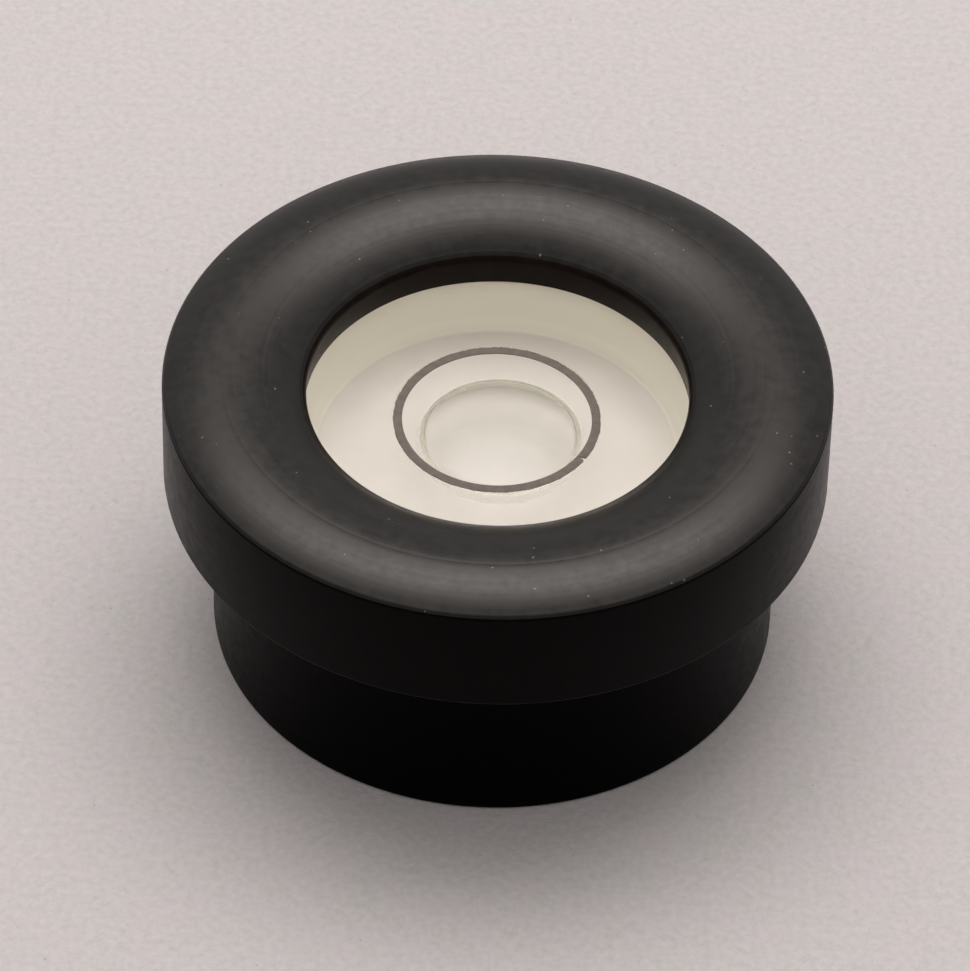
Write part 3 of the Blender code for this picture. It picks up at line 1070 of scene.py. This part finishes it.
def make_paper_fibres():
    """Fibres: |noise - 0.5| less than a thickness, kept only where a second noise is high."""
    inputs = {"Per Mm": 1.2, "Bend": 1.6, "Thickness": 0.035}
    tree, inlet, outlet = start_group("paper fibres", inputs, ["Mask"])
    place = millimetres(tree)
    per_mm = inlet.outputs["Per Mm"]
    links = {"Vector": place, "Scale": per_mm, "Detail": LINE_DETAIL, "Distortion": inlet.outputs["Bend"]}
    bent = node(tree, "ShaderNodeTexNoise", links).outputs[0]
    off_middle = sums(tree, "ABSOLUTE", sums(tree, "SUBTRACT", bent, 0.5))
    line = ramp(tree, sums(tree, "DIVIDE", off_middle, inlet.outputs["Thickness"]), 1.0, 0.0)
    links = {"Vector": place, "Scale": sums(tree, "MULTIPLY", per_mm, PATCH_FINER), "Detail": 0.0}
    patch = ramp(tree, node(tree, "ShaderNodeTexNoise", links).outputs[0], PATCH_START, PATCH_FULL)
    tree.links.new(sums(tree, "MULTIPLY", line, patch), outlet.inputs["Mask"])
    return tree


paper_fibres = make_paper_fibres()
print("group:", paper_fibres.name)

# %% [markdown]
# The patterns are laid over each other, broad ones first. The sheet reaches far past
# the picture, so that no edge shows, and lies a hair below the level's base, because
# two faces at one height would flicker.

# %% Lay the paper
FLOOR_HALF = 1.5
FLOOR_DROP = 0.02 * MM
BLOTCH_WARM = (0.630, 0.608, 0.596, 1)
BLOTCH_COOL = (0.664, 0.611, 0.628, 1)
GRAIN_PALE = (0.730, 0.686, 0.690, 1)
# Painted shade in the sunk fibres and painted light on the raised ones.
SUNK_FIBRE_PAINTED_SHADE = (0.44, 0.41, 0.40, 1)
RAISED_FIBRE_PAINTED_LIGHT = (0.84, 0.81, 0.80, 1)
FLECK_COLOUR = (0.34, 0.31, 0.29, 1)
SUNK_STRENGTH = 0.03
RAISED_STRENGTH = 0.035
FLECK_STRENGTH = 0.45
FIBRE_RELIEF = 0.25
PAPER_BUMP_STRENGTH = 0.8
PAPER_BUMP_DISTANCE = 0.04 * MM
PAPER_ROUGHNESS = 0.9
PAPER_GLOSS = 0.1


def make_paper():
    """Pale paper: blotches, grain, fibres with painted shade and light, and flecks, each blended over the
    last.
    """
    material, tree, shader = start_material("paper")
    blotches = use_group(tree, fine_grain, Per_Mm=0.45, Detail=3.0).outputs["Mottle"]
    grain = use_group(tree, fine_grain, Per_Mm=2.8, Detail=7.0).outputs["Height"]
    flecks = use_group(tree, settled_dust, Cells_Per_Mm=1.3, Largest=0.10, Share=0.22).outputs["Mask"]
    sunk = use_group(tree, paper_fibres, Per_Mm=1.7, Bend=1.8, Thickness=0.05).outputs["Mask"]
    raised = use_group(tree, paper_fibres, Per_Mm=1.4, Bend=2.2, Thickness=0.045).outputs["Mask"]
    broad = blend_colours(tree, blotches, BLOTCH_WARM, BLOTCH_COOL)
    by_grain = ramp(tree, grain, NOISE_LOW, NOISE_HIGH, smooth=False)
    colour = blend_colours(tree, by_grain, broad, GRAIN_PALE)
    # Sunk fibres get painted shade, raised ones painted light, then the flecks their own colour.
    for mask, strength, tone in (
        (sunk, SUNK_STRENGTH, SUNK_FIBRE_PAINTED_SHADE),
        (raised, RAISED_STRENGTH, RAISED_FIBRE_PAINTED_LIGHT),
        (flecks, FLECK_STRENGTH, FLECK_COLOUR),
    ):
        colour = blend_colours(tree, sums(tree, "MULTIPLY", mask, strength), colour, tone)
    fibre_relief = sums(tree, "MULTIPLY", sums(tree, "SUBTRACT", raised, sunk), FIBRE_RELIEF)
    relief = sums(tree, "ADD", grain, fibre_relief)
    links = {"Height": relief, "Strength": PAPER_BUMP_STRENGTH, "Distance": PAPER_BUMP_DISTANCE}
    tree.links.new(colour, shader.inputs["Base Color"])
    tree.links.new(node(tree, "ShaderNodeBump", links).outputs[0], shader.inputs["Normal"])
    shader.inputs["Roughness"].default_value = PAPER_ROUGHNESS
    shader.inputs["Specular IOR Level"].default_value = PAPER_GLOSS
    return material


square = ((-1, -1), (1, -1), (1, 1), (-1, 1))
sheet = [(x * FLOOR_HALF, y * FLOOR_HALF, -FLOOR_DROP) for x, y in square]
floor_mesh = bpy.data.meshes.new("floor")
floor_mesh.from_pydata(sheet, [], [(0, 1, 2, 3)])
floor = bpy.data.objects.new("floor", floor_mesh)
bpy.context.scene.collection.objects.link(floor)
floor.data.materials.append(make_paper())
print("floor is", 2 * FLOOR_HALF, "m across")

# %% [markdown]
# ## The soft box
#
# The rim shows a broad glow with soft edges at its front and its back, which a wide
# soft box above and a little behind gives. An area lamp of one strength would show
# hard edges in the gloss. So its strength falls off smoothly from the middle, and
# dim even light from the world fills the rest.

# %% Light the scene
BOX_ELEVATION = math.radians(71)
BOX_DISTANCE = 0.45
BOX_WIDTH = 0.72
BOX_DEPTH = 0.44
BOX_RADIANCE = 4.05
GLOW_EDGE = 0.5
GLOW_CORE = 0.12
FILL = 0.45
WARMTH = (1.0, 0.965, 0.935)

box_data = bpy.data.lights.new("soft box", "AREA")
box_data.shape = "RECTANGLE"
box_data.size = BOX_WIDTH
box_data.size_y = BOX_DEPTH
box_data.energy = BOX_RADIANCE * math.pi * BOX_WIDTH * BOX_DEPTH
box_data.color = WARMTH
box_data.use_nodes = True
lamp_tree = box_data.node_tree
place_on_lamp = node(lamp_tree, "ShaderNodeNewGeometry").outputs["Parametric"]
links = {0: place_on_lamp, 1: (0.5, 0.5, 0)}
off_middle = node(lamp_tree, "ShaderNodeVectorMath", links, operation="SUBTRACT").outputs[0]
from_middle = node(lamp_tree, "ShaderNodeVectorMath", {0: off_middle}, operation="LENGTH").outputs["Value"]
glow = ramp(lamp_tree, from_middle, GLOW_EDGE, GLOW_CORE)
lamp_tree.links.new(glow, lamp_tree.nodes["Emission"].inputs["Strength"])
box_light = bpy.data.objects.new("soft box", box_data)
box_place = Vector((0, math.cos(BOX_ELEVATION), math.sin(BOX_ELEVATION))) * BOX_DISTANCE
box_light.location = box_place
box_light.rotation_euler = box_place.to_track_quat("Z", "Y").to_euler()
bpy.context.scene.collection.objects.link(box_light)

world = bpy.data.worlds.new("world")
world.use_nodes = True
world.node_tree.nodes["Background"].inputs["Color"].default_value = (*WARMTH, 1)
world.node_tree.nodes["Background"].inputs["Strength"].default_value = FILL
bpy.context.scene.world = world
bpy.context.scene.view_settings.view_transform = "Standard"
print("soft box power", round(box_data.energy, 2), "W")

# %% [markdown]
# ## Light through the window
#
# The whole sky of the studio also lights the cup through the window. Those rays bend
# on their way in, which shadow rays can't follow, so the cup would be too dark. A
# stronger soft box would spoil the rim. A dim disc lamp just above the window, which
# neither the camera nor a reflection sees, stands for that light.

# %% Light the vial through its window
SKY_SHARE = 0.13
SKY_SPREAD = math.radians(120)
SKY_GAP = 0.05 * MM

sky_data = bpy.data.lights.new("sky through the window", "AREA")
sky_data.shape = "DISK"
sky_data.size = 2 * opening_radius
sky_data.spread = SKY_SPREAD
sky_data.energy = SKY_SHARE * math.pi * math.pi * opening_radius ** 2
sky_data.color = WARMTH
sky_light = bpy.data.objects.new("sky through the window", sky_data)
sky_light.location = (0, 0, window_top + SKY_GAP)
sky_light.visible_camera = False
sky_light.visible_glossy = False
sky_light.visible_transmission = False
bpy.context.scene.collection.objects.link(sky_light)
print("sky lamp power", round(sky_data.energy * 1000, 3), "mW")
